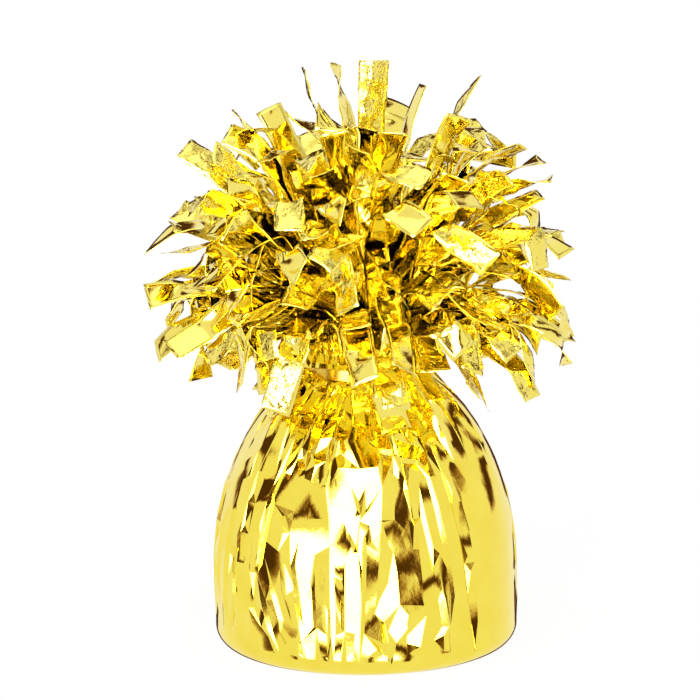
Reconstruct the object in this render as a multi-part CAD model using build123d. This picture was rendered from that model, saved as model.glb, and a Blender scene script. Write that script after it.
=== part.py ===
from build123d import *

import math
import os

import numpy as np

# Balloon weight: a cast weight in a domed cup, wrapped in metallised film. The film is drawn
# up round the cup in pleats, gathered into a neck, bound with a twist tie and cut above it
# into a fringe of loose strips. Millimetres, +Z up, origin at the middle of the flat
# underside, front towards -Y.

# Wrapped dome
BASE_RADIUS = 32.0        # widest radius of the wrapped dome
EDGE_ROUND = 4.0          # rounding where the wrap turns under the base
WALL_TOP = 18.0           # height at which the wall starts to dome over
WALL_TAPER = 0.3          # how much narrower the wall is at that height
DOME_RISE = 43.2          # rise of the dome's ellipse above the wall
FILM_WALL = 0.3           # thickness of the wrap, with its doubled pleats
PLEAT_COUNT = 26
PLEAT_DEPTH_LOW = 0.35    # depth of the pleats at the wall
PLEAT_DEPTH_HIGH = 1.6    # depth of the pleats at the shoulder
PLEAT_UNEVEN_SHARE = 0.22
PLEAT_UNEVEN_RATE = 2.4
EDGE_TURN_SHARES = (0.0, 0.5, 1.0)
DOME_LEVEL_SHARES = (0.0, 0.16, 0.34, 0.52, 0.7, 0.85, 1.0)

# Cup and its filling
CUP_CLEARANCE = 0.4       # between the cup and the inside of the wrap
CUP_WALL = 1.0
CUP_RISE = 37.0           # rise of the cup's crown above the wall
CUP_CROWN_STEPS = 6
CUP_SIDES = 60
FILL_CLEARANCE = 0.1

# Gathered neck
SHOULDER_RADIUS = 13.5    # where the pleats close up into the neck
SHOULDER_CLOSING = 1.2    # height in which they close
WAIST_RADIUS = 11.0
NECK_TOP_RADIUS = 12.4
NECK_OPENING = 2.2        # from the waist up to the roots of the strips
NECK_PLEAT_DEPTH = 1.0

# Twist tie round the waist
TIE_CLEARANCE = 0.15
TIE_WIDTH = 2.4
TIE_THICKNESS = 0.6
TIE_TAIL_LENGTH = 7.0
TIE_TAIL_WIDTH = 2.2
TIE_TAIL_TURN_ANGLE = 180.0
TIE_TAIL_STEPS = 4
TIE_TAIL_ANGLE = 90.0     # the twisted ends point to the back

# Fringe
STRIP_LENGTH = 62.0       # the longest strips
STRIP_WIDTH = 6.4
STRIP_ROOT_WIDTH = 1.8    # the strips are pinched together at the neck
STRIP_THICKNESS = 0.12
STRIP_CLEARANCE = 0.3     # kept between the edges of one strip and the face of another
LEAN_SHARE = 0.14         # share of its length in which a strip leans out
SPREAD_SHARE = 0.4        # share of its length in which it opens to full width
LEAN_STEPS = 2
DROOP_STEPS = 5
FLOP_SHARE = 0.7         # share of the droop that is one sharp fold
FLOP_START_SHARE = 0.65   # where along the strip that fold is, and how far that varies
FLOP_SPREAD_SHARE = 0.2
KINK_ANGLE = 14.0         # crumpling: how far a facet tips out of line
SLANT_ANGLE = 14.0        # crumpling: how far a crease slants out of line
STANDOUT_CRUMPLE_SHARE = 0.3

# One row for each ring of strips, the outermost first: tier, count, radius as a share of the
# neck's top, share of the length that stands upright, lean and droop in degrees, length as a
# share of the longest strip.
RING_SHARES = (
    ("hanging", 26, 0.90, 0.05, 66.0, 70.0, 0.62),
    ("lower", 24, 0.80, 0.08, 53.0, 74.0, 0.69),
    ("lower", 21, 0.69, 0.10, 42.0, 76.0, 0.77),
    ("middle", 20, 0.58, 0.12, 32.0, 76.0, 0.84),
    ("middle", 18, 0.47, 0.15, 24.0, 78.0, 0.88),
    ("upper", 15, 0.36, 0.18, 16.0, 78.0, 0.91),
    ("upper", 10, 0.24, 0.20, 10.0, 75.0, 0.92),
    ("crown", 5, 0.11, 0.20, 4.0, 50.0, 0.92),
)

# Strips that stand out from the rest, by ring and place in the ring: heading, upright share,
# lean, droop, skew of the folds, length as a share of the longest strip.
STANDOUT_SHARES = {
    (7, 2): (180, 0.2, 0, 10, 0, 0.98),
    (7, 4): (300, 0.2, 2, 6, 0, 1.0),
    (6, 5): (180, 0.2, 4, 12, 0, 0.98),
    (6, 0): (20, 0.2, 6, 14, 10, 0.92),
    (5, 0): (3, 0.15, 20, 10, 20, 1.0),
    (5, 6): (175, 0.15, 18, 34, 40, 0.92),
    (5, 13): (325, 0.15, 18, 16, -15, 0.92),
    (4, 8): (176, 0.12, 30, 30, -30, 0.90),
    (4, 16): (306, 0.14, 30, 20, 0, 0.80),
    (3, 0): (2, 0.1, 36, 40, 40, 0.76),
    (3, 11): (188, 0.1, 42, 34, 30, 0.78),
    (3, 14): (263, 0.1, 36, 40, 0, 0.74),
    (2, 1): (12, 0.08, 46, 45, 30, 0.64),
    (2, 10): (160, 0.1, 42, 50, -30, 0.76),
    (2, 17): (292, 0.08, 42, 50, 10, 0.66),
    (1, 11): (178, 0.08, 46, 75, 30, 0.72),
    (1, 13): (200, 0.08, 52, 70, -30, 0.72),
    (1, 16): (236, 0.08, 50, 55, 15, 0.62),
    (1, 17): (268, 0.08, 50, 58, 8, 0.57),
    (1, 23): (350, 0.08, 50, 60, -40, 0.68),
    (0, 0): (0, 0.05, 60, 85, 25, 0.66),
    (0, 14): (188, 0.05, 60, 80, -25, 0.66),
    (0, 15): (208, 0.05, 75, 50, 10, 0.42),
    (0, 17): (226, 0.05, 82, 55, 0, 0.42),
    (0, 18): (245, 0.05, 85, 60, 10, 0.40),
    (0, 20): (286, 0.05, 78, 75, 0, 0.46),
    (0, 21): (305, 0.05, 85, 60, 8, 0.40),
    (0, 24): (324, 0.05, 70, 95, 5, 0.62),
    (0, 25): (343, 0.05, 80, 55, 0, 0.46),
}

# How far the other strips vary at first. Each is tried in turn, straighter and shorter every
# time, until it passes the rest freely.
SWING_ANGLE = 32.0
SWING_GAIN_SHARE = 0.25   # the inner rings swing more
RISE_SPREAD_SHARE = 0.5
LEAN_ANGLE = 13.0
DROOP_ANGLE = 40.0
SKEW_ANGLE = 40.0
LENGTH_SPREAD_SHARE = 0.07
TIDY_DROOP_SHARE = 0.5    # the droop that is left in the last of the tries
TIDY_CUT_SHARE = 0.45     # the share of the length that is cut off by then
GOLDEN_ANGLE = 137.508
CRUMPLE_RATE = 9.7
STRIP_TRIES = 200
SECTORS = ("right", "back_right", "back", "back_left", "left", "front_left", "front", "front_right")

WALL_RADIUS = BASE_RADIUS - WALL_TAPER
CUP_RADIUS = WALL_RADIUS - PLEAT_DEPTH_LOW - FILM_WALL - CUP_CLEARANCE
SHOULDER_Z = WALL_TOP + DOME_RISE * math.sqrt(1.0 - (SHOULDER_RADIUS / WALL_RADIUS) ** 2)
WAIST_Z = SHOULDER_Z + SHOULDER_CLOSING
WAIST_HEIGHT = TIE_WIDTH + 2.0 * TIE_CLEARANCE
NECK_TOP_Z = WAIST_Z + WAIST_HEIGHT + NECK_OPENING


def faceted(rings):
    """A solid of flat triangles: each ring of corners is joined to the next, both ends capped."""
    faces = [Face(Wire.make_polygon(ring)) for ring in (rings[0], rings[-1])]
    for low, high in zip(rings, rings[1:]):
        for i in range(len(low)):
            j = (i + 1) % len(low)
            faces.append(Face(Wire.make_polygon((low[i], low[j], high[j]))))
            faces.append(Face(Wire.make_polygon((low[i], high[j], high[i]))))
    return Solid(Shell(faces))


def pleated_ring(z, radius, depth):
    """One level of the wrap: ridges and valleys, unevenly spaced as gathered by hand."""
    points = []
    pitch = 2.0 * math.pi / PLEAT_COUNT
    for i in range(PLEAT_COUNT):
        ridge = pitch * (i + PLEAT_UNEVEN_SHARE * math.sin(PLEAT_UNEVEN_RATE * i))
        for angle, r in ((ridge, radius), (ridge + pitch / 2.0, radius - depth)):
            points.append((r * math.cos(angle), r * math.sin(angle), z))
    return points


def skirt_levels(inset):
    """Height, radius and pleat depth at each level of the wrap, from the underside up."""
    levels = []
    edge = EDGE_ROUND - inset
    for share in EDGE_TURN_SHARES:
        turn = math.radians(90.0 * share)
        radius = BASE_RADIUS - EDGE_ROUND + edge * math.sin(turn)
        levels.append((inset + edge * (1.0 - math.cos(turn)), radius, 0.0))
    for share in DOME_LEVEL_SHARES:
        z = WALL_TOP + share * (SHOULDER_Z - WALL_TOP)
        radius = WALL_RADIUS * math.sqrt(1.0 - ((z - WALL_TOP) / DOME_RISE) ** 2)
        depth = PLEAT_DEPTH_LOW + share * (PLEAT_DEPTH_HIGH - PLEAT_DEPTH_LOW)
        levels.append((z, radius - inset, depth))
    return levels


def wrapper_skirt():
    """Up the outside of the wrap, over its open top and down the inside."""
    levels = skirt_levels(0.0) + skirt_levels(FILM_WALL)[::-1]
    return faceted([pleated_ring(*level) for level in levels])


def wrapper_neck():
    """The bundle of gathered film: it closes in, is waisted by the tie and opens again."""
    levels = (
        (SHOULDER_Z, SHOULDER_RADIUS),
        (WAIST_Z, WAIST_RADIUS),
        (WAIST_Z + WAIST_HEIGHT, WAIST_RADIUS),
        (NECK_TOP_Z, NECK_TOP_RADIUS),
    )
    return faceted([pleated_ring(z, radius, NECK_PLEAT_DEPTH) for z, radius in levels])


def dome_rings(radius, rise):
    """Bevelled foot, straight wall and a crown with a flattened top, from the foot up."""
    profile = [(radius - EDGE_ROUND, FILM_WALL), (radius, FILM_WALL + EDGE_ROUND)]
    for step in range(CUP_CROWN_STEPS):
        turn = math.radians(90.0 * step / CUP_CROWN_STEPS)
        profile.append((radius * math.cos(turn), WALL_TOP + rise * math.sin(turn)))
    angles = [2.0 * math.pi * i / CUP_SIDES for i in range(CUP_SIDES)]
    return [[(r * math.cos(angle), r * math.sin(angle), z) for angle in angles] for r, z in profile]


def plastic_cup():
    """Down the outside, round the rim of its open foot, where it is filled, and up the inside."""
    outside = dome_rings(CUP_RADIUS, CUP_RISE)
    return faceted(outside[::-1] + dome_rings(CUP_RADIUS - CUP_WALL, CUP_RISE - CUP_WALL))


def plaster_fill():
    inset = CUP_WALL + FILL_CLEARANCE
    return faceted(dome_rings(CUP_RADIUS - inset, CUP_RISE - inset))


def twist_tie():
    """A flat band round the waist, its two ends twisted together."""
    inner = WAIST_RADIUS + TIE_CLEARANCE
    band = Cylinder(inner + TIE_THICKNESS, TIE_WIDTH) - Cylinder(inner, TIE_WIDTH)
    rings = []
    for i in range(TIE_TAIL_STEPS + 1):
        share = i / TIE_TAIL_STEPS
        turn = math.radians(TIE_TAIL_TURN_ANGLE * share)
        x = inner + TIE_THICKNESS / 2.0 + TIE_TAIL_LENGTH * share
        ring = []
        for side, up in ((-1, -1), (1, -1), (1, 1), (-1, 1)):
            y = side * TIE_THICKNESS
            z = up * TIE_TAIL_WIDTH / 2.0
            aside = y * math.cos(turn) - z * math.sin(turn)
            ring.append((x, aside, y * math.sin(turn) + z * math.cos(turn)))
        rings.append(ring)
    place = Pos(0, 0, WAIST_Z + WAIST_HEIGHT / 2.0) * Rot(0, 0, TIE_TAIL_ANGLE)
    return place * (band + faceted(rings))


def wave(index, rate):
    """An even but unordered spread from -1 to 1."""
    return math.sin(math.radians(GOLDEN_ANGLE * rate * index))


def turned(vector, axis, angle):
    """A vector turned about a unit axis."""
    lift = np.cross(axis, vector) * math.sin(angle)
    return vector * math.cos(angle) + lift + axis * (axis @ vector) * (1.0 - math.cos(angle))


def strip_creases(root, length, crumple, number, heading, rise_share, lean, droop, skew):
    """A flat strip folded at a row of creases: centre, crease, face and width at each one.

    It stands upright, leans out and then droops. Folds that are skewed also twist it. Past its
    lean the facets are crumpled, each strip in its own way.
    """
    bent = rise_share + LEAN_SHARE
    shares = [0.0]
    shares += [rise_share + LEAN_SHARE * i / LEAN_STEPS for i in range(LEAN_STEPS)]
    shares += [bent + (1.0 - bent) * i / DROOP_STEPS for i in range(DROOP_STEPS + 1)]

    flop = crumple * FLOP_SHARE
    flop_start = FLOP_START_SHARE + FLOP_SPREAD_SHARE * wave(number, 4)

    def bend(share):
        past = max(0.0, share - rise_share)
        drooped = (1.0 - flop) * past / (1.0 - rise_share) + flop * (share > flop_start)
        kink = crumple * KINK_ANGLE * wave(number + CRUMPLE_RATE * share, 1) if past > LEAN_SHARE else 0.0
        return math.radians(lean * min(1.0, past / LEAN_SHARE) + droop * drooped + kink)

    turn = math.radians(heading)
    along = np.array([0.0, 0.0, 1.0])
    across = np.array([-math.sin(turn), math.cos(turn), 0.0])
    centre = np.array(root)
    middles = [bend((a + b) / 2.0) for a, b in zip(shares, shares[1:])]
    folds = [middles[0]] + [b - a for a, b in zip(middles, middles[1:])] + [0.0]
    creases = []
    for i, (share, fold) in enumerate(zip(shares, folds)):
        past = max(0.0, share - rise_share)
        ends = i in (0, len(shares) - 1)
        skewed = skew + crumple * SLANT_ANGLE * wave(number + CRUMPLE_RATE * share, 2)
        slant = 0.0 if ends else math.radians(skewed) * min(1.0, past / (2.0 * LEAN_SHARE))
        crease = across * math.cos(slant) + along * math.sin(slant)
        face = turned(np.cross(across, along), crease, 0.0 if ends else fold / 2.0)
        width = STRIP_ROOT_WIDTH + (STRIP_WIDTH - STRIP_ROOT_WIDTH) * min(1.0, past / SPREAD_SHARE)
        creases.append((centre, crease, face, width / math.cos(slant)))
        along = turned(along, crease, fold)
        across = turned(across, crease, fold)
        if not (ends and i):
            centre = centre + along * (shares[i + 1] - share) * length
    return creases


def strip_lines_and_faces(creases):
    """The edges and creases of a strip as lines, and its flat facets as triangles."""
    left, right = (
        np.array([c + side * u * (w + STRIP_CLEARANCE) / 2.0 for c, u, _, w in creases]) for side in (-1, 1)
    )
    lift = STRIP_THICKNESS * np.array([face for _, _, face, _ in creases])
    edges = (left - lift, left + lift, right - lift, right + lift)
    lines = [np.stack([edge[:-1], edge[1:]], 1) for edge in edges]
    lines = np.concatenate([*lines, np.stack([left, right], 1)])
    lower = np.stack([left[:-1], right[:-1], right[1:]], 1)
    upper = np.stack([left[:-1], right[1:], left[1:]], 1)
    return lines, np.concatenate([lower, upper])


def crosses(lines, triangles):
    """Whether any of the lines passes through a triangle."""
    start = lines[:, None, 0]
    reach = lines[:, None, 1] - start
    corner = triangles[None, :, 0]
    side = triangles[None, :, 1] - corner
    other = triangles[None, :, 2] - corner
    normal = np.cross(side, other)
    facing = -(reach * normal).sum(-1)
    facing[facing == 0.0] = np.nan
    offset = start - corner
    moment = np.cross(offset, reach)
    u = (other * moment).sum(-1) / facing
    v = -(side * moment).sum(-1) / facing
    t = (offset * normal).sum(-1) / facing
    return bool(((u >= 0) & (v >= 0) & (u + v <= 1) & (t >= 0) & (t <= 1)).any())


def strip_choices(ring, slot, number):
    """The ways that a strip may take: one if it stands out, else a row of variations.

    Each is its length share, how far it is crumpled, the number of its crumple and its bends.
    """
    if (ring, slot) in STANDOUT_SHARES:
        *bends, length = STANDOUT_SHARES[ring, slot]
        yield length, STANDOUT_CRUMPLE_SHARE, number, *bends
        return
    _, count, _, rise, lean, droop, length = RING_SHARES[ring]
    azimuth = 360.0 * (slot + ring % 2 / 2.0) / count
    for attempt in range(STRIP_TRIES):
        n = number * STRIP_TRIES + attempt
        loose = 1.0 - attempt / STRIP_TRIES
        yield (
            length * (1.0 - (1.0 - loose) * TIDY_CUT_SHARE) + LENGTH_SPREAD_SHARE * wave(n, 7),
            loose,
            n,
            azimuth + SWING_ANGLE * (1.0 + SWING_GAIN_SHARE * ring) * wave(n, 1),
            rise * (1.0 + RISE_SPREAD_SHARE * wave(n, 11)),
            lean + LEAN_ANGLE * wave(n, 2),
            TIDY_DROOP_SHARE * droop + loose * ((1.0 - TIDY_DROOP_SHARE) * droop + DROOP_ANGLE * wave(n, 3)),
            loose * SKEW_ANGLE * wave(n, 5),
        )


def place_strips():
    """Tier, azimuth and creases of every strip, each bent so that it crosses no other.

    The strips that stand out come first, then the rest from the middle outwards. A strip that
    finds no free way is left out.
    """
    slots = [(ring, slot) for ring, row in enumerate(RING_SHARES) for slot in range(row[1])]
    numbers = {place: number for number, place in enumerate(slots, 1)}
    slots.sort(key=lambda place: (place not in STANDOUT_SHARES, -place[0]))
    strips = []
    placed = []
    for ring, slot in slots:
        tier, count, radius_share = RING_SHARES[ring][:3]
        azimuth = 360.0 * (slot + ring % 2 / 2.0) / count
        radius = radius_share * NECK_TOP_RADIUS
        turn = math.radians(azimuth)
        root = (radius * math.cos(turn), radius * math.sin(turn), NECK_TOP_Z)
        for length_share, *bends in strip_choices(ring, slot, numbers[ring, slot]):
            creases = strip_creases(root, length_share * STRIP_LENGTH, *bends)
            lines, faces = strip_lines_and_faces(creases)
            low, high = faces.min((0, 1)), faces.max((0, 1))
            near = [other for other in placed if (low < other[1]).all() and (high > other[0]).all()]
            if not any(crosses(lines, other[3]) or crosses(other[2], faces) for other in near):
                placed.append((low, high, lines, faces))
                strips.append((tier, azimuth, creases))
                break
    return strips


def strip_solid(creases):
    rings = []
    for centre, crease, face, width in creases:
        side = crease * width / 2.0
        lift = face * STRIP_THICKNESS / 2.0
        corners = (centre - side - lift, centre + side - lift, centre + side + lift, centre - side + lift)
        rings.append([tuple(corner) for corner in corners])
    return faceted(rings)


def fringe():
    """The strips in groups: one node for each tier and each of eight directions."""
    groups = {}
    for tier, azimuth, creases in place_strips():
        sector = SECTORS[round(azimuth / 45.0) % len(SECTORS)]
        groups.setdefault(f"fringe_{tier}_{sector}", []).append(strip_solid(creases))
    return {name: Compound(children=solids) for name, solids in groups.items()}


def main():
    os.makedirs("parts", exist_ok=True)
    pieces = {
        "plaster_fill": plaster_fill(),
        "plastic_cup": plastic_cup(),
        "wrapper_skirt": wrapper_skirt(),
        "wrapper_neck": wrapper_neck(),
        "twist_tie": twist_tie(),
    }
    pieces.update(fringe())
    for name, shape in pieces.items():
        export_step(shape, f"parts/{name}.step")


main()
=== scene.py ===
import math

import bpy
import numpy as np
from mathutils import Matrix, Vector
from mathutils.geometry import delaunay_2d_cdt


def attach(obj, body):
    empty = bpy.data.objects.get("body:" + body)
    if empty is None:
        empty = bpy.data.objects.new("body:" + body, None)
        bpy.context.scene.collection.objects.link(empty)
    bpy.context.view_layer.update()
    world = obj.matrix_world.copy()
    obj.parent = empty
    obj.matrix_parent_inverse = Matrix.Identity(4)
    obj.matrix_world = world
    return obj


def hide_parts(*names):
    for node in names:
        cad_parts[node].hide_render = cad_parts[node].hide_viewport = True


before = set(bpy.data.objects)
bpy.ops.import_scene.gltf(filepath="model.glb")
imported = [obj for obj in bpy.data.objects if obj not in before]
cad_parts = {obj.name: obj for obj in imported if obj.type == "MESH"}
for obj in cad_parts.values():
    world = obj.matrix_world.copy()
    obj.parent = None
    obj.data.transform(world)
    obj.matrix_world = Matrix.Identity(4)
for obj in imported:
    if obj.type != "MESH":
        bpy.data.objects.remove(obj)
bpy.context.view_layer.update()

# Lengths below are millimetres, and MM turns them into the scene's metres.
# Azimuth runs from the front (-Y) towards +X.
MM = 0.001
BASE_RADIUS = 32.0
EDGE_ROUND = 4.0
WALL_TOP = 18.0
WALL_RADIUS = 31.7
DOME_RISE = 43.2
SHOULDER_RADIUS = 13.5
WAIST_RADIUS = 11.0
NECK_TOP_RADIUS = 12.4
WAIST_HEIGHT = 2.7
NECK_OPENING = 2.2
SHOULDER_Z = WALL_TOP + DOME_RISE * math.sqrt(1.0 - (SHOULDER_RADIUS / WALL_RADIUS) ** 2)
WAIST_Z = SHOULDER_Z + 1.2
NECK_TOP_Z = WAIST_Z + WAIST_HEIGHT + NECK_OPENING

# Film
FILM_THICKNESS = 0.06
WRAP_CREASE_ANGLE = 10.0
STRIP_CREASE_ANGLE = 28.0
MOTTLED_SHARE = 0.45
ACROSS = 7

# Facet net of the wrap
NET_ROWS = 9
NET_COLUMNS = 60
CRUMPLE_HEIGHT = 0.65
CALM_HEIGHT = 0.14
JUMBLE_HEIGHT = 0.5
FOLD_STEP = 6.0
FOLD_CLEARANCE = 1.4
GATHER_COUNT = 24
GATHER_TOP = 57.0
GATHER_SHARES = (0.04, 0.3, 0.55, 0.75, 0.94)

# The film puffs out below and above the tie: height, reach, size
PUFFS = ((57.6, 1.2, 1.2), (62.2, 2.0, 2.4))

# Light, floor and camera
SURROUND_LIGHT = 0.97
PANE_LIGHT = 11.0
OVERHEAD_LIGHT = 1.8
GAP_DEPTH = 0.92
GAP_TINT = (1.0, 0.42, 0.15, 1.0)
FLOOR_HALF_SIZE = 3.0
FLOOR_GLOW_SHARE = 0.93
CAMERA_DISTANCE = 1.0
CAMERA_ELEVATION = math.radians(12.0)
CAMERA_ROLL = math.radians(0.6)
PICTURE_WIDTH = 0.14933


def smooth(edge0, edge1, x):
    t = np.clip((x - edge0) / (edge1 - edge0), 0.0, 1.0)
    return t * t * (3.0 - 2.0 * t)


def scatter(i, j, seed):
    """An unordered number from -1 to 1 for each whole-number pair."""
    value = np.sin(i * 127.1 + j * 311.7 + seed * 74.7) * 43758.5453
    return 2.0 * (value - np.floor(value)) - 1.0


def facets(u, v, cell_u, cell_v, span, seed):
    """Flat triangular facets of random height, as in crumpled film. Periodic along u."""
    count = max(3, round(span / cell_u))
    a = u / span * count + 0.35 * np.sin(v / cell_v * 1.9 + seed)
    a = a + 0.22 * np.sin(v / cell_v * 4.3 + 2.0 * seed)
    turn = 2.0 * math.pi * u / span
    b = v / cell_v + 0.45 * np.sin(turn * round(count * 0.23) + seed)
    b = b + 0.3 * np.sin(turn * round(count * 0.41) + 3.0 * seed)
    i, j = np.floor(a), np.floor(b)
    fa, fb = a - i, b - j
    h = {(di, dj): scatter(np.mod(i + di, count), j + dj, seed) for di in (0, 1) for dj in (0, 1)}
    low = h[0, 0] + (h[1, 0] - h[0, 0]) * fa + (h[0, 1] - h[0, 0]) * fb
    high = h[1, 1] + (h[0, 1] - h[1, 1]) * (1.0 - fa) + (h[1, 0] - h[1, 1]) * (1.0 - fb)
    return np.where(fa + fb < 1.0, low, high)


def new_object(name, verts, faces, material):
    mesh = bpy.data.meshes.new(name)
    mesh.from_pydata(verts, [], faces)
    mesh.update()
    mesh.polygons.foreach_set("use_smooth", [True] * len(mesh.polygons))
    obj = bpy.data.objects.new(name, mesh)
    bpy.context.scene.collection.objects.link(obj)
    mesh.materials.append(material)
    return obj


def thicken(obj):
    thick = obj.modifiers.new("film", "SOLIDIFY")
    thick.thickness = FILM_THICKNESS * MM
    thick.offset = 0.0


# Materials

def node_material(name):
    material = bpy.data.materials.new(name)
    material.use_nodes = True
    nodes = material.node_tree.nodes
    return material, nodes, material.node_tree.links, nodes["Principled BSDF"]


def add(nodes, kind, **values):
    node = nodes.new(kind)
    for key, value in values.items():
        if key in node.inputs:
            node.inputs[key].default_value = value
        else:
            setattr(node, key, value)
    return node


def ramp(nodes, links, source, stops):
    node = nodes.new("ShaderNodeValToRGB")
    elements = node.color_ramp.elements
    while len(elements) < len(stops):
        elements.new(0.5)
    for element, (position, colour) in zip(elements, stops):
        element.position = position
        element.color = (*colour, 1.0)
    links.new(source, node.inputs["Fac"])
    return node.outputs["Color"]


def gold_film(name, crumple, fine, tint, rough):
    """Metallised polyester: a gold mirror with slight haze and fine creases."""
    material, nodes, links, shader = node_material(name)
    shader.inputs["Metallic"].default_value = 1.0
    where = add(nodes, "ShaderNodeTexCoord").outputs["Object"]
    haze = add(nodes, "ShaderNodeTexNoise", Scale=160.0, Detail=5.0, Roughness=0.6)
    links.new(where, haze.inputs["Vector"])
    red, green, blue = tint
    deep = (red - 0.015, green - 0.035, blue - 0.015)
    light = (red + 0.015, green + 0.035, blue + 0.015)
    stops = [(0.3, deep), (0.7, light)]
    links.new(ramp(nodes, links, haze.outputs["Fac"], stops), shader.inputs["Base Color"])
    stops = [(0.35, (rough,) * 3), (0.75, (rough * 3.0,) * 3)]
    links.new(ramp(nodes, links, haze.outputs["Fac"], stops), shader.inputs["Roughness"])
    cells = add(nodes, "ShaderNodeTexVoronoi", feature="DISTANCE_TO_EDGE", Scale=fine)
    links.new(where, cells.inputs["Vector"])
    ripples = add(nodes, "ShaderNodeTexNoise", Scale=fine * 0.8, Detail=4.0, Roughness=0.65)
    links.new(where, ripples.inputs["Vector"])
    crease = add(nodes, "ShaderNodeBump", Strength=crumple, Distance=0.0004)
    links.new(cells.outputs["Distance"], crease.inputs["Height"])
    bump = add(nodes, "ShaderNodeBump", Strength=crumple * 0.8, Distance=0.0006)
    links.new(ripples.outputs["Fac"], bump.inputs["Height"])
    links.new(crease.outputs["Normal"], bump.inputs["Normal"])
    links.new(bump.outputs["Normal"], shader.inputs["Normal"])
    return material


def plain(name, colours, rough, scale, strength, metallic=0.0):
    """A material that is hidden or hardly seen: mottled colour and a fine grain."""
    material, nodes, links, shader = node_material(name)
    shader.inputs["Metallic"].default_value = metallic
    where = add(nodes, "ShaderNodeTexCoord").outputs["Object"]
    grain = add(nodes, "ShaderNodeTexNoise", Scale=scale, Detail=6.0)
    links.new(where, grain.inputs["Vector"])
    stops = [(0.35, colours[0]), (0.65, colours[1])]
    links.new(ramp(nodes, links, grain.outputs["Fac"], stops), shader.inputs["Base Color"])
    stops = [(0.3, (rough,) * 3), (0.7, (rough + 0.12,) * 3)]
    links.new(ramp(nodes, links, grain.outputs["Fac"], stops), shader.inputs["Roughness"])
    bump = add(nodes, "ShaderNodeBump", Strength=strength, Distance=0.0003)
    links.new(grain.outputs["Fac"], bump.inputs["Height"])
    links.new(bump.outputs["Normal"], shader.inputs["Normal"])
    return material


WRAP_FILM = gold_film("wrap_film", 0.04, 260.0, (0.935, 0.76, 0.09), 0.025)
SMOOTH_FILM = gold_film("smooth_strip_film", 0.1, 300.0, (0.935, 0.78, 0.15), 0.04)
MOTTLED_FILM = gold_film("mottled_strip_film", 0.55, 330.0, (0.935, 0.78, 0.15), 0.04)


# The wrap: one sheet from under the base, up the wall, over the dome and through the neck

def wrap_profile():
    """Radius, height and path length of the wrap, from the middle of the underside up."""
    points = [(r, 0.0) for r in np.linspace(0.6, BASE_RADIUS - EDGE_ROUND, 14)[:-1]]
    for turn in np.linspace(0.0, math.pi / 2.0, 14)[:-1]:
        inward, up = 1.0 - math.sin(turn), 1.0 - math.cos(turn)
        points.append((BASE_RADIUS - EDGE_ROUND * inward, EDGE_ROUND * up))
    for z in np.linspace(EDGE_ROUND, WALL_TOP, 36)[:-1]:
        share = (z - EDGE_ROUND) / (WALL_TOP - EDGE_ROUND)
        points.append((BASE_RADIUS + (WALL_RADIUS - BASE_RADIUS) * share, z))
    for turn in np.linspace(0.0, math.asin((SHOULDER_Z - WALL_TOP) / DOME_RISE), 120)[:-1]:
        points.append((WALL_RADIUS * math.cos(turn), WALL_TOP + DOME_RISE * math.sin(turn)))
    neck = (
        (SHOULDER_RADIUS, SHOULDER_Z),
        (11.9, 57.9),
        (WAIST_RADIUS + 0.1, 58.7),
        (WAIST_RADIUS, 59.7),
        (WAIST_RADIUS + 0.1, 60.8),
        (11.6, 62.0),
        (NECK_TOP_RADIUS, NECK_TOP_Z),
        (11.0, 64.2),
        (7.0, 64.6),
        (0.6, 64.4),
    )
    for (r0, z0), (r1, z1) in zip(neck, neck[1:]):
        for share in np.linspace(0.0, 1.0, 5)[:-1]:
            points.append((r0 + (r1 - r0) * share, z0 + (z1 - z0) * share))
    points.append(neck[-1])
    profile = np.array(points)
    steps = np.hypot(*np.diff(profile, axis=0).T)
    return profile[:, 0], profile[:, 1], np.concatenate([[0.0], np.cumsum(steps)])


# Folds listed one by one, in the wall and the dome: azimuth and height at the foot, azimuth and
# height at the head, half widths to the left and the right in millimetres, height in millimetres.
FOLDS = (
    (-80, 8, -74, 34, 0.7, 1.4, 0.5),
    (-70, 5, -65, 38, 0.7, 1.6, 0.6),
    (-63, 4, -58, 30, 0.6, 1.2, -0.6),
    (-59, 9, -53, 47, 0.7, 2.0, 0.6),
    (-50, 5, -48, 28, 0.6, 1.2, 0.55),
    (-46, 16, -42, 48, 0.7, 1.4, -0.65),
    (-36, 3, -50, 27, 2.6, 1.0, 0.55),
    (-29, 5, -42, 24, 1.0, 2.4, -0.5),
    (-24, 4, -31, 30, 2.2, 1.0, 0.6),
    (-18, 3, -20, 26, 1.0, 1.2, 0.4),
    (-13, 3, -14, 28, 1.2, 1.0, 0.4),
    (-8, 3, -8, 25, 1.0, 1.3, 0.4),
    (-3, 3, -1, 30, 1.2, 1.0, 0.45),
    (3, 14, 8, 46, 4.5, 3.0, 0.9),
    (9, 3, 5, 17, 1.0, 2.0, 0.5),
    (22, 15, 17, 45, 1.0, 3.6, 0.7),
    (27, 20, 21, 40, 2.4, 0.9, -0.6),
    (33, 4, 29, 22, 1.4, 0.8, 0.45),
    (36, 10, 28, 47, 0.9, 3.0, 0.6),
    (45, 3, 36, 48, 0.8, 2.4, -0.6),
    (89, 3, 84, 34, 2.0, 1.4, 0.35),
)


def chance_folds():
    """Folds of the sides and the back, set by chance, in the same form as the others."""
    rng = np.random.RandomState(8)
    chosen = []
    for middle in (*range(98, 172, 8), *range(-168, -86, 8)):
        foot = middle + rng.uniform(-2.5, 2.5)
        head = middle * 0.97 + rng.uniform(-5.0, 5.0)
        low, high = rng.uniform(3.0, 12.0), rng.uniform(26.0, 47.0)
        left, right = rng.permutation((rng.uniform(0.7, 1.1), rng.uniform(1.2, 2.6)))
        height = rng.uniform(0.45, 0.65) * rng.choice((-1.0, 1.0, 1.0))
        chosen.append((foot, low, head, high, left, right, height))
    return chosen


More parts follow.
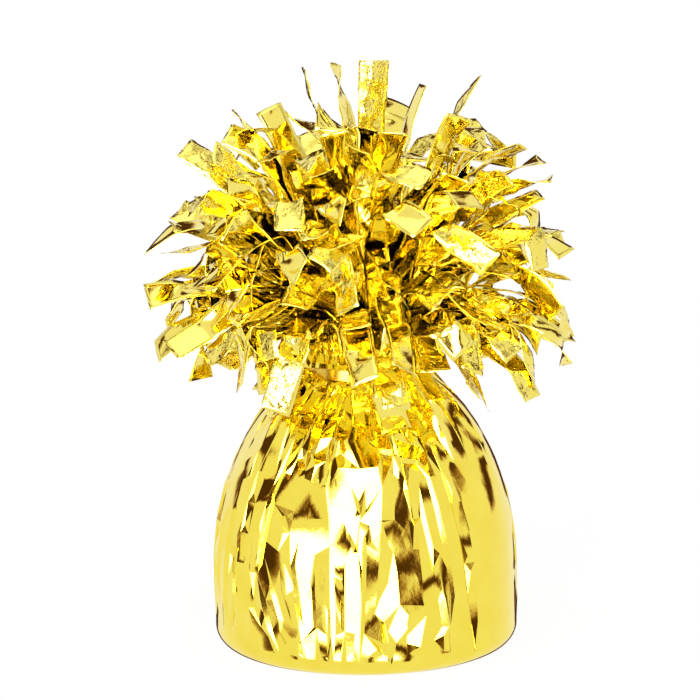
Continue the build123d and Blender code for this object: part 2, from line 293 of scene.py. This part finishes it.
# Flat pleats below the neck: azimuth, half angle, lowest and highest height
FLATS = (
    (-34, 19, 34, 58),
    (33, 12, 38, 57),
    (58, 13, 34, 56),
    (-78, 15, 36, 56),
    (120, 18, 36, 56),
    (165, 18, 36, 57),
    (-140, 18, 34, 56),
)


# Small crumples: azimuth, height, half width, number of corners
JUMBLES = (
    (-1, 31, 4.5, 16),
    (11, 9, 4.5, 12),
    (-21, 45, 5.0, 14),
    (17, 46, 5.0, 14),
    (-40, 30, 3.5, 7),
    (-66, 22, 4.0, 7),
    (110, 26, 6.0, 12),
    (-150, 30, 7.0, 16),
)


def window(low, high, soft, x):
    """One between low and high, falling to nothing over a soft stretch outside them."""
    return np.clip((x - low) / soft + 1.0, 0.0, 1.0) * np.clip((high - x) / soft + 1.0, 0.0, 1.0)


def choose_gathers():
    """Pleats that run up into the neck: azimuth, half angles, start, height and lean."""
    rng = np.random.RandomState(21)
    chosen = []
    for k in range(GATHER_COUNT):
        centre = -180.0 + 360.0 * (k + 0.8 * rng.uniform(-0.5, 0.5)) / GATHER_COUNT
        width = rng.uniform(5.0, 10.0)
        start = rng.uniform(36.0, 50.0)
        height = rng.uniform(0.5, 1.5) * (1.0 if rng.uniform() < 0.7 else -0.6)
        lean = rng.uniform(-16.0, 16.0)
        steep = rng.choice((0.3, 1.7))
        chosen.append((centre, width * steep, width * (2.0 - steep), start, height, lean))
    return chosen


GATHERS = choose_gathers()


def pleats(degrees, z, radius):
    """How far the gathers near the neck stand off the plain dome."""
    gather = np.zeros_like(z)
    for centre, left, right, start, height, lean in GATHERS:
        growth = np.clip((z - start) / (GATHER_TOP - start), 0.0, 1.0)
        off = np.mod(degrees - centre - lean * (1.0 - growth) + 180.0, 360.0) - 180.0
        off = np.where(off < 0.0, -off / left, off / right)
        gather += height * growth * np.clip(1.0 - off, 0.0, 1.0)
    relief = np.zeros_like(z)
    stretched = np.zeros_like(z)
    for middle, reach, low, high in FLATS:
        away = np.abs(degrees - middle)
        rise = np.clip((z - low) / 9.0, 0.0, 1.0) * np.clip((high - z) / 5.0, 0.0, 1.0)
        flat = np.cos(math.radians(reach)) / np.cos(np.radians(np.clip(away, 0.0, reach))) - 1.0
        relief += radius * flat * rise
        stretched = np.maximum(stretched, rise * np.clip((reach - away) / 3.0, 0.0, 1.0))
    relief += gather * (1.0 - 0.35 * smooth(55.0, 58.5, z)) * (1.0 - 0.85 * stretched)
    for level, reach, size in PUFFS:
        relief += size * np.clip(1.0 - np.abs(z - level) / reach, 0.0, 1.0)
    return relief


def film_net():
    """Corners of the film's facets on the unrolled wrap: azimuth, path, standoff. And its creases."""
    rng = np.random.RandomState(12)
    radius, z, path = wrap_profile()
    foot, head = path[np.searchsorted(z, 5.0)], path[np.searchsorted(z, 56.0)]
    corners, creases = [], []

    def row(t, columns):
        for u in np.linspace(-180.0, 180.0, columns + 1):
            corners.append((u, t, 0.0))

    for i in (0, 6, 12):
        row(path[i], 72)
    for i in range(13, np.searchsorted(z, 5.0)):
        row(path[i], 144)
    for i in range(np.searchsorted(z, 56.5), len(z), 2):
        row(path[i], 96)
    row(path[-1], 96)

    # Folds: a crest and two feet
    lines = []
    for foot_a, foot_z, head_a, head_z, left, right, height in (*FOLDS, *chance_folds()):
        count = max(3, int((head_z - foot_z) / FOLD_STEP))
        for side, lift in ((-left, 0.0), (0.0, height), (right, 0.0)):
            first = len(corners)
            for i in range(count + 1):
                share = i / count
                level = foot_z + (head_z - foot_z) * share
                wide = math.sin(math.pi * share) ** 0.5
                t = np.interp(level, z[13:], path[13:])
                around = np.interp(t, path, radius)
                angle = foot_a + (head_a - foot_a) * share + math.degrees(side * wide / around)
                if side and i in (0, count):
                    continue
                corners.append((angle, t, lift * wide))
                lines.append((angle, t))
            creases.extend((k, k + 1) for k in range(first, len(corners) - 1))

    # Gathers below the neck: a crest and two feet
    for centre, left, right, start, _, lean in GATHERS:
        if abs(centre) + abs(lean) + left + right > 176.0:
            continue
        for side in (-left, 0.0, right):
            first = len(corners)
            for share in GATHER_SHARES:
                level = start + (GATHER_TOP - start) * share
                t = np.interp(level, z[13:], path[13:])
                corners.append((centre + lean * (1.0 - share) + side, t, 0.0))
            creases.extend((k, k + 1) for k in range(first, len(corners) - 1))

    # Chance facets between them: crumpled at the front and behind, calmer elsewhere
    lines = np.array(lines)
    rows = NET_ROWS * 2 - 1
    step = 360.0 / NET_COLUMNS
    for i in range(rows):
        t = foot + (head - foot) * (i + 0.5) / rows
        corners.extend(((-180.0, t, 0.0), (180.0, t, 0.0)))
        for k in range(NET_COLUMNS):
            angle = -180.0 + step * (k + 0.5 + 0.5 * (i // 2 % 2 - 0.5))
            level = np.interp(t, path, z)
            behind = max(window(112.0, 168.0, 7.0, angle), window(-162.0, -118.0, 7.0, angle))
            crumpled = max(window(-42.0, 38.0, 7.0, angle), 0.8 * behind) * window(8.0, 50.0, 4.0, level)
            calm = window(50.0, 86.0, 4.0, angle)
            if crumpled > 0.4 and i % 2:
                continue
            shake = 0.38 * (1.0 - calm)
            aside, up, out = rng.uniform(-1.0, 1.0, 3)
            at = (angle + step * shake * aside, t + 5.0 * shake * (0.5 + crumpled) * up)
            height = out * (CRUMPLE_HEIGHT * crumpled + CALM_HEIGHT * (1.0 - crumpled) * (1.0 - calm))
            around = np.interp(at[1], path, radius)
            gap = np.hypot((lines[:, 0] - at[0]) * math.pi / 180.0 * around, lines[:, 1] - at[1])
            if gap.min() > FOLD_CLEARANCE and abs(at[0]) < 178.0:
                corners.append((*at, height))

    # Small crumples
    for middle, level, reach, count in JUMBLES:
        for _ in range(count):
            off, up = rng.uniform(-1.0, 1.0, 2) * reach
            t = np.interp(level + up, z[13:], path[13:])
            angle = middle + math.degrees(off / np.interp(t, path, radius))
            corners.append((angle, t, rng.uniform(-JUMBLE_HEIGHT, JUMBLE_HEIGHT)))
    return corners, creases


def make_wrap():
    """The wrap as a net of flat film facets, creased where they meet."""
    radius, z, path = wrap_profile()
    slope_r, slope_z = np.gradient(radius), np.gradient(z)
    length = np.hypot(slope_r, slope_z)
    corners, creases = film_net()
    flat = [Vector((math.radians(a) * BASE_RADIUS, t)) for a, t, _ in corners]
    points, _, triangles, sources, _, _ = delaunay_2d_cdt(flat, creases, [], 0, 1e-4)
    net = np.array([tuple(point) for point in points])
    heights = [[corners[k][2] for k in source] or [0.0] for source in sources]
    standoff = np.array([np.mean(values) for values in heights])
    degrees = np.degrees(net[:, 0] / BASE_RADIUS)
    grid_r, grid_z = np.interp(net[:, 1], path, radius), np.interp(net[:, 1], path, z)
    under = net[:, 1] < path[13]
    lift = np.where(under, 0.0, standoff + pleats(degrees, grid_z, grid_r))
    r = grid_r + lift * np.interp(net[:, 1], path, slope_z / length)
    height = np.maximum(grid_z - lift * np.interp(net[:, 1], path, slope_r / length), 0.0)
    turn = net[:, 0] / BASE_RADIUS
    verts = np.stack([r * np.sin(turn), -r * np.cos(turn), height], -1) * MM
    seam = {round(t, 3): k for k, t in enumerate(net[:, 1]) if degrees[k] < -179.99}
    same = [seam.get(round(t, 3), k) if degrees[k] > 179.99 else k for k, t in enumerate(net[:, 1])]
    faces = [tuple(same[k] for k in triangle) for triangle in triangles]
    rim = [k for k in np.argsort(net[:, 0]).tolist() if net[k, 1] < 1e-3 and degrees[k] < 179.99]
    faces.append(tuple(rim[::-1]))
    wrap = new_object("film_wrap", verts.tolist(), faces, WRAP_FILM)
    wrap.data.set_sharp_from_angle(angle=math.radians(WRAP_CREASE_ANGLE))
    thicken(wrap)
    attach(wrap, "root")
    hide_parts("wrapper_skirt", "wrapper_neck")
    return wrap


# The fringe: each solid strip is read from the frame and gets a fine, creased ribbon

def strip_edges(node):
    """The two long edges of each strip of a node, as rows of points from root to tip."""
    mesh = node.data
    co = np.array([v.co for v in mesh.vertices])
    keys, ids = {}, []
    for point in co:
        ids.append(keys.setdefault(tuple(np.round(point, 6)), len(keys)))
    points = np.array(list(keys))
    links = [set() for _ in points]
    for polygon in mesh.polygons:
        corners = [ids[i] for i in polygon.vertices]
        for corner in corners:
            links[corner].update(c for c in corners if c != corner)
    seen = set()
    strips = []
    for start in range(len(points)):
        if start in seen:
            continue
        island, stack = set(), [start]
        while stack:
            k = stack.pop()
            if k not in island:
                island.add(k)
                stack.extend(links[k] - island)
        seen |= island
        ring = [k for k in island if abs(points[k][2] - NECK_TOP_Z * MM) < 2e-6]
        done, rings = set(), []
        while ring:
            rings.append(ring)
            done.update(ring)
            ring = sorted({k for c in ring for k in links[c]} - done)
        edges = []
        for ring in rings:
            first = points[ring[0]]
            order = sorted(ring, key=lambda k: np.linalg.norm(points[k] - first))
            ends = [points[order[:2]].mean(0), points[order[2:]].mean(0)]
            if edges:
                straight = np.linalg.norm(ends[0] - edges[-1][0]) + np.linalg.norm(ends[1] - edges[-1][1])
                crossed = np.linalg.norm(ends[1] - edges[-1][0]) + np.linalg.norm(ends[0] - edges[-1][1])
                if crossed < straight:
                    ends.reverse()
            edges.append(ends)
        strips.append(np.array(edges) / MM)
    return strips


def curve_through(points, knots, samples):
    """A smooth curve through the points, sampled along the knots."""
    slopes = np.gradient(points, knots, axis=0)
    k = np.clip(np.searchsorted(knots, samples, side="right") - 1, 0, len(knots) - 2)
    step = (knots[k + 1] - knots[k])[:, None]
    t = (samples - knots[k])[:, None] / step
    h00 = (1 + 2 * t) * (1 - t) ** 2
    h10 = t * (1 - t) ** 2
    h01 = t * t * (3 - 2 * t)
    h11 = t * t * (t - 1)
    return h00 * points[k] + h10 * step * slopes[k] + h01 * points[k + 1] + h11 * step * slopes[k + 1]


def polyline(points, knots, samples):
    return np.stack([np.interp(samples, knots, points[:, axis]) for axis in range(3)], -1)


def unit(v):
    return v / np.maximum(np.linalg.norm(v, axis=-1, keepdims=True), 1e-9)


def zigzag(rng, s, step, size):
    """Straight runs between random kinks."""
    count = max(2, int(round(s[-1] / step)))
    knots = np.linspace(0.0, s[-1], count + 1)
    knots[1:-1] += rng.uniform(-0.3, 0.3, count - 1) * step
    return np.interp(s, knots, rng.uniform(-size, size, count + 1))


# More strips inside the fringe, which have no solids: lean in degrees, length, count
FILL_WIDTH = 6.4
FILL = ((10, 56, 18), (22, 56, 24), (34, 52, 22), (48, 46, 16), (62, 40, 10))


def ribbon(edges, rng, mottled):
    """Vertices of one creased ribbon along a strip: rows from root to tip."""
    centre = edges.mean(1)
    half = (edges[:, 1] - edges[:, 0]) / 2.0
    knots = np.concatenate([[0.0], np.cumsum(np.linalg.norm(np.diff(centre, axis=0), axis=1))])
    s = np.linspace(0.0, knots[-1], max(14, int(knots[-1] / 0.9)))
    line = 0.6 * polyline(centre, knots, s) + 0.4 * curve_through(centre, knots, s)
    reach = 0.6 * polyline(half, knots, s) + 0.4 * curve_through(half, knots, s)
    along = unit(np.gradient(line, s, axis=0))
    reach = reach - along * (reach * along).sum(-1, keepdims=True)
    width = np.linalg.norm(reach, axis=1)
    across = unit(reach)
    face = np.cross(along, across)

    free = smooth(2.0, 12.0, s)
    line = line + face * (zigzag(rng, s, 7.0, 0.8) * free)[:, None]
    line = line + across * (zigzag(rng, s, 14.0, 0.5) * free)[:, None]
    twist = zigzag(rng, s, 9.0, 0.5) * free + rng.uniform(-0.3, 0.3) * s / s[-1]
    turned = across * np.cos(twist)[:, None] + face * np.sin(twist)[:, None]
    normal = np.cross(along, turned)
    bow = zigzag(rng, s, 13.0, 0.5) * free
    pinch = 1.1 * (1.0 - smooth(0.0, 16.0, s))
    side = np.linspace(-1.0, 1.0, ACROSS)
    grid_s, grid_u = np.meshgrid(s, side * 3.2, indexing="ij")
    seed = rng.uniform(0.0, 50.0)
    size = 0.5 if mottled else 0.1
    lift = size * facets(grid_u, grid_s, 2.6, 3.2, 7.8, seed) * free[:, None]
    lift += bow[:, None] * (side ** 2)[None, :] + pinch[:, None] * np.abs(side)[None, :]
    sideways = turned[:, None] * (width[:, None] * side)[..., None]
    return line[:, None] + sideways + normal[:, None] * lift[..., None]


def fill_edges(rng, lean, length):
    """The long edges of a strip that fills the inside of the fringe: it leans out and folds over."""
    turn = rng.uniform(0.0, 2.0 * math.pi)
    radius = rng.uniform(0.1, 0.85) * NECK_TOP_RADIUS
    centre = np.array([radius * math.cos(turn), radius * math.sin(turn), NECK_TOP_Z])
    turn += rng.uniform(-0.7, 0.7)
    along = np.array([0.0, 0.0, 1.0])
    across = np.array([-math.sin(turn), math.cos(turn), 0.0])
    fold_at = rng.randint(5, 8)
    edges = []
    for i in range(9):
        half = across * (0.9 + (FILL_WIDTH / 2.0 - 0.9) * min(1.0, i / 3.0))
        edges.append((centre - half, centre + half))
        skew = rng.uniform(-0.7, 0.7) if i > 2 else 0.0
        bend = lean if i == 1 else rng.uniform(-0.25, 0.4)
        if i == fold_at:
            bend = rng.uniform(0.8, 1.9)
        axis = across * math.cos(skew) + along * math.sin(skew)
        rotation = np.array(Matrix.Rotation(bend, 3, Vector(axis)))
        along, across = rotation @ along, rotation @ across
        centre = centre + along * length / 8.0
    return np.array(edges)


def make_strips(name, rows_of_edges, seed):
    rng = np.random.RandomState(seed)
    verts, faces, kinds = [], [], []
    for edges in rows_of_edges:
        mottled = rng.uniform() < MOTTLED_SHARE
        rows = ribbon(edges, rng, mottled)
        base = len(verts)
        count = rows.shape[0]
        verts.extend((rows.reshape(-1, 3) * MM).tolist())
        for i in range(count - 1):
            for j in range(ACROSS - 1):
                a = base + i * ACROSS + j
                faces.append((a, a + 1, a + ACROSS + 1, a + ACROSS))
                kinds.append(1 if mottled else 0)
    strips = new_object(name, verts, faces, SMOOTH_FILM)
    strips.data.materials.append(MOTTLED_FILM)
    strips.data.polygons.foreach_set("material_index", kinds)
    strips.data.set_sharp_from_angle(angle=math.radians(STRIP_CREASE_ANGLE))
    thicken(strips)
    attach(strips, "root")
    return strips


wrap = make_wrap()
for number, name in enumerate(sorted(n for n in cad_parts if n.startswith("fringe_"))):
    edges = strip_edges(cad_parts[name])
    strips = make_strips(name.replace("fringe_", "strips_"), edges, 40 + number)
    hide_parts(name)
rng = np.random.RandomState(5)
fill = [fill_edges(rng, math.radians(lean), length) for lean, length, count in FILL for _ in range(count)]
make_strips("strips_fill", fill, 90)

for node, material in (
    ("plaster_fill", plain("cast_plaster", ((0.62, 0.6, 0.56), (0.78, 0.76, 0.72)), 0.7, 180.0, 0.4)),
    ("plastic_cup", plain("cup_plastic", ((0.78, 0.78, 0.76), (0.84, 0.84, 0.82)), 0.35, 90.0, 0.1)),
    ("twist_tie", plain("tie_plastic", ((0.7, 0.45, 0.05), (0.82, 0.56, 0.08)), 0.15, 240.0, 0.2, 0.9)),
):
    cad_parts[node].data.materials.clear()
    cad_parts[node].data.materials.append(material)


# Studio

# Bright panes in front, as first and last azimuth in radians. Dark gaps, with their lowest and
# highest sine of elevation too.
PANES = ((-0.85, -0.6), (-0.4, -0.08), (0.14, 0.44))
GAPS = (
    (-3.05, -2.78, -0.6, 0.75),
    (-2.45, -2.28, 0.0, 0.9),
    (-2.02, -1.85, 0.3, 0.93),
    (-1.47, -1.33, -0.25, 0.8),
    (-1.05, -0.98, -0.5, 0.6),
    (-0.51, -0.44, -0.4, 0.7),
    (0.02, 0.08, -0.45, 0.75),
    (0.51, 0.6, -0.5, 0.7),
    (1.03, 1.13, -0.25, 0.8),
    (1.65, 1.82, 0.3, 0.93),
    (2.1, 2.25, 0.0, 0.9),
    (2.78, 3.05, -0.6, 0.75),
    (-0.5, 0.3, 0.78, 0.88),
)


def studio_world():
    """A light surround with a bright window at the front and narrow dark gaps between panels."""
    world = bpy.data.worlds.new("studio")
    bpy.context.scene.world = world
    world.use_nodes = True
    nodes, links = world.node_tree.nodes, world.node_tree.links
    background = nodes["Background"]
    where = add(nodes, "ShaderNodeTexCoord").outputs["Generated"]
    split = add(nodes, "ShaderNodeSeparateXYZ")
    links.new(where, split.inputs[0])

    def math_node(operation, a, b=None):
        node = add(nodes, "ShaderNodeMath", operation=operation)
        for socket, value in zip(node.inputs, (a, b)):
            if value is None:
                continue
            if isinstance(value, (int, float)):
                socket.default_value = value
            else:
                links.new(value, socket)
        return node.outputs[0]

    def band(value, low, high, soft):
        node = add(nodes, "ShaderNodeMapRange", interpolation_type="SMOOTHSTEP")
        links.new(value, node.inputs["Value"])
        node.inputs["From Min"].default_value = low - soft
        node.inputs["From Max"].default_value = low + soft
        rise = node.outputs["Result"]
        node = add(nodes, "ShaderNodeMapRange", interpolation_type="SMOOTHSTEP")
        links.new(value, node.inputs["Value"])
        node.inputs["From Min"].default_value = high - soft
        node.inputs["From Max"].default_value = high + soft
        return math_node("SUBTRACT", rise, node.outputs["Result"])

    x, y, z = split.outputs
    azimuth = math_node("ARCTAN2", x, math_node("MULTIPLY", y, -1.0))
    light = None
    panes = [(band(azimuth, low, high, 0.03), band(z, -0.33, 0.62, 0.04)) for low, high in PANES]
    for level, parts in (
        (SURROUND_LIGHT, ()),
        *((PANE_LIGHT, pane) for pane in panes),
        (OVERHEAD_LIGHT, (band(z, 0.9, 1.5, 0.05),)),
    ):
        amount = level
        for part in parts:
            amount = math_node("MULTIPLY", amount, part)
        light = amount if light is None else math_node("MAXIMUM", light, amount)
    dark = None
    for low, high, bottom, top in GAPS:
        part = math_node("MULTIPLY", band(azimuth, low, high, 0.03), band(z, bottom, top, 0.04))
        dark = part if dark is None else math_node("MAXIMUM", dark, part)
    kept = math_node("SUBTRACT", 1.0, math_node("MULTIPLY", dark, GAP_DEPTH))
    light = math_node("MULTIPLY", light, kept)
    path = add(nodes, "ShaderNodeLightPath")
    seen = path.outputs["Is Camera Ray"]
    mix = add(nodes, "ShaderNodeMix", data_type="FLOAT")
    links.new(seen, mix.inputs[0])
    links.new(light, mix.inputs[2])
    mix.inputs[3].default_value = 1.0
    links.new(mix.outputs[0], background.inputs["Strength"])
    # The gaps are a warm brown
    tint = add(nodes, "ShaderNodeMix", data_type="RGBA")
    links.new(math_node("MULTIPLY", dark, math_node("SUBTRACT", 1.0, seen)), tint.inputs[0])
    tint.inputs[6].default_value = (1.0, 1.0, 1.0, 1.0)
    tint.inputs[7].default_value = GAP_TINT
    links.new(tint.outputs[2], background.inputs["Color"])


def floor():
    material, nodes, links, shader = node_material("floor_white")
    shader.inputs["Base Color"].default_value = (0.86, 0.86, 0.86, 1.0)
    shader.inputs["Roughness"].default_value = 0.9
    glow = add(nodes, "ShaderNodeEmission", Strength=1.0)
    path = add(nodes, "ShaderNodeLightPath")
    blend = add(nodes, "ShaderNodeMixShader")
    share = add(nodes, "ShaderNodeMath", operation="MULTIPLY")
    links.new(path.outputs["Is Camera Ray"], share.inputs[0])
    share.inputs[1].default_value = FLOOR_GLOW_SHARE
    links.new(share.outputs[0], blend.inputs["Fac"])
    links.new(shader.outputs[0], blend.inputs[1])
    links.new(glow.outputs[0], blend.inputs[2])
    links.new(blend.outputs[0], nodes["Material Output"].inputs["Surface"])
    size = FLOOR_HALF_SIZE
    corners = [(-size, -size, 0.0), (size, -size, 0.0), (size, size, 0.0), (-size, size, 0.0)]
    plane = new_object("floor", corners, [(0, 1, 2, 3)], material)
    plane.location.z = -0.0002
    plane.visible_glossy = False


def camera():
    distance, elevation = CAMERA_DISTANCE, CAMERA_ELEVATION
    data = bpy.data.cameras.new("camera")
    data.sensor_width = 36.0
    data.lens = data.sensor_width * distance / PICTURE_WIDTH
    obj = bpy.data.objects.new("camera", data)
    bpy.context.scene.collection.objects.link(obj)
    up = Vector((0.0, math.sin(elevation), math.cos(elevation)))
    forward = Vector((0.0, math.cos(elevation), -math.sin(elevation)))
    target = Vector((-0.00288, 0.0, 0.0)) + up * 0.0615
    turn = Matrix.Rotation(math.pi / 2.0 - elevation, 4, "X") @ Matrix.Rotation(-CAMERA_ROLL, 4, "Z")
    obj.matrix_world = Matrix.Translation(target - forward * distance) @ turn
    bpy.context.scene.camera = obj


studio_world()
floor()
camera()
bpy.context.scene.view_settings.view_transform = "Standard"
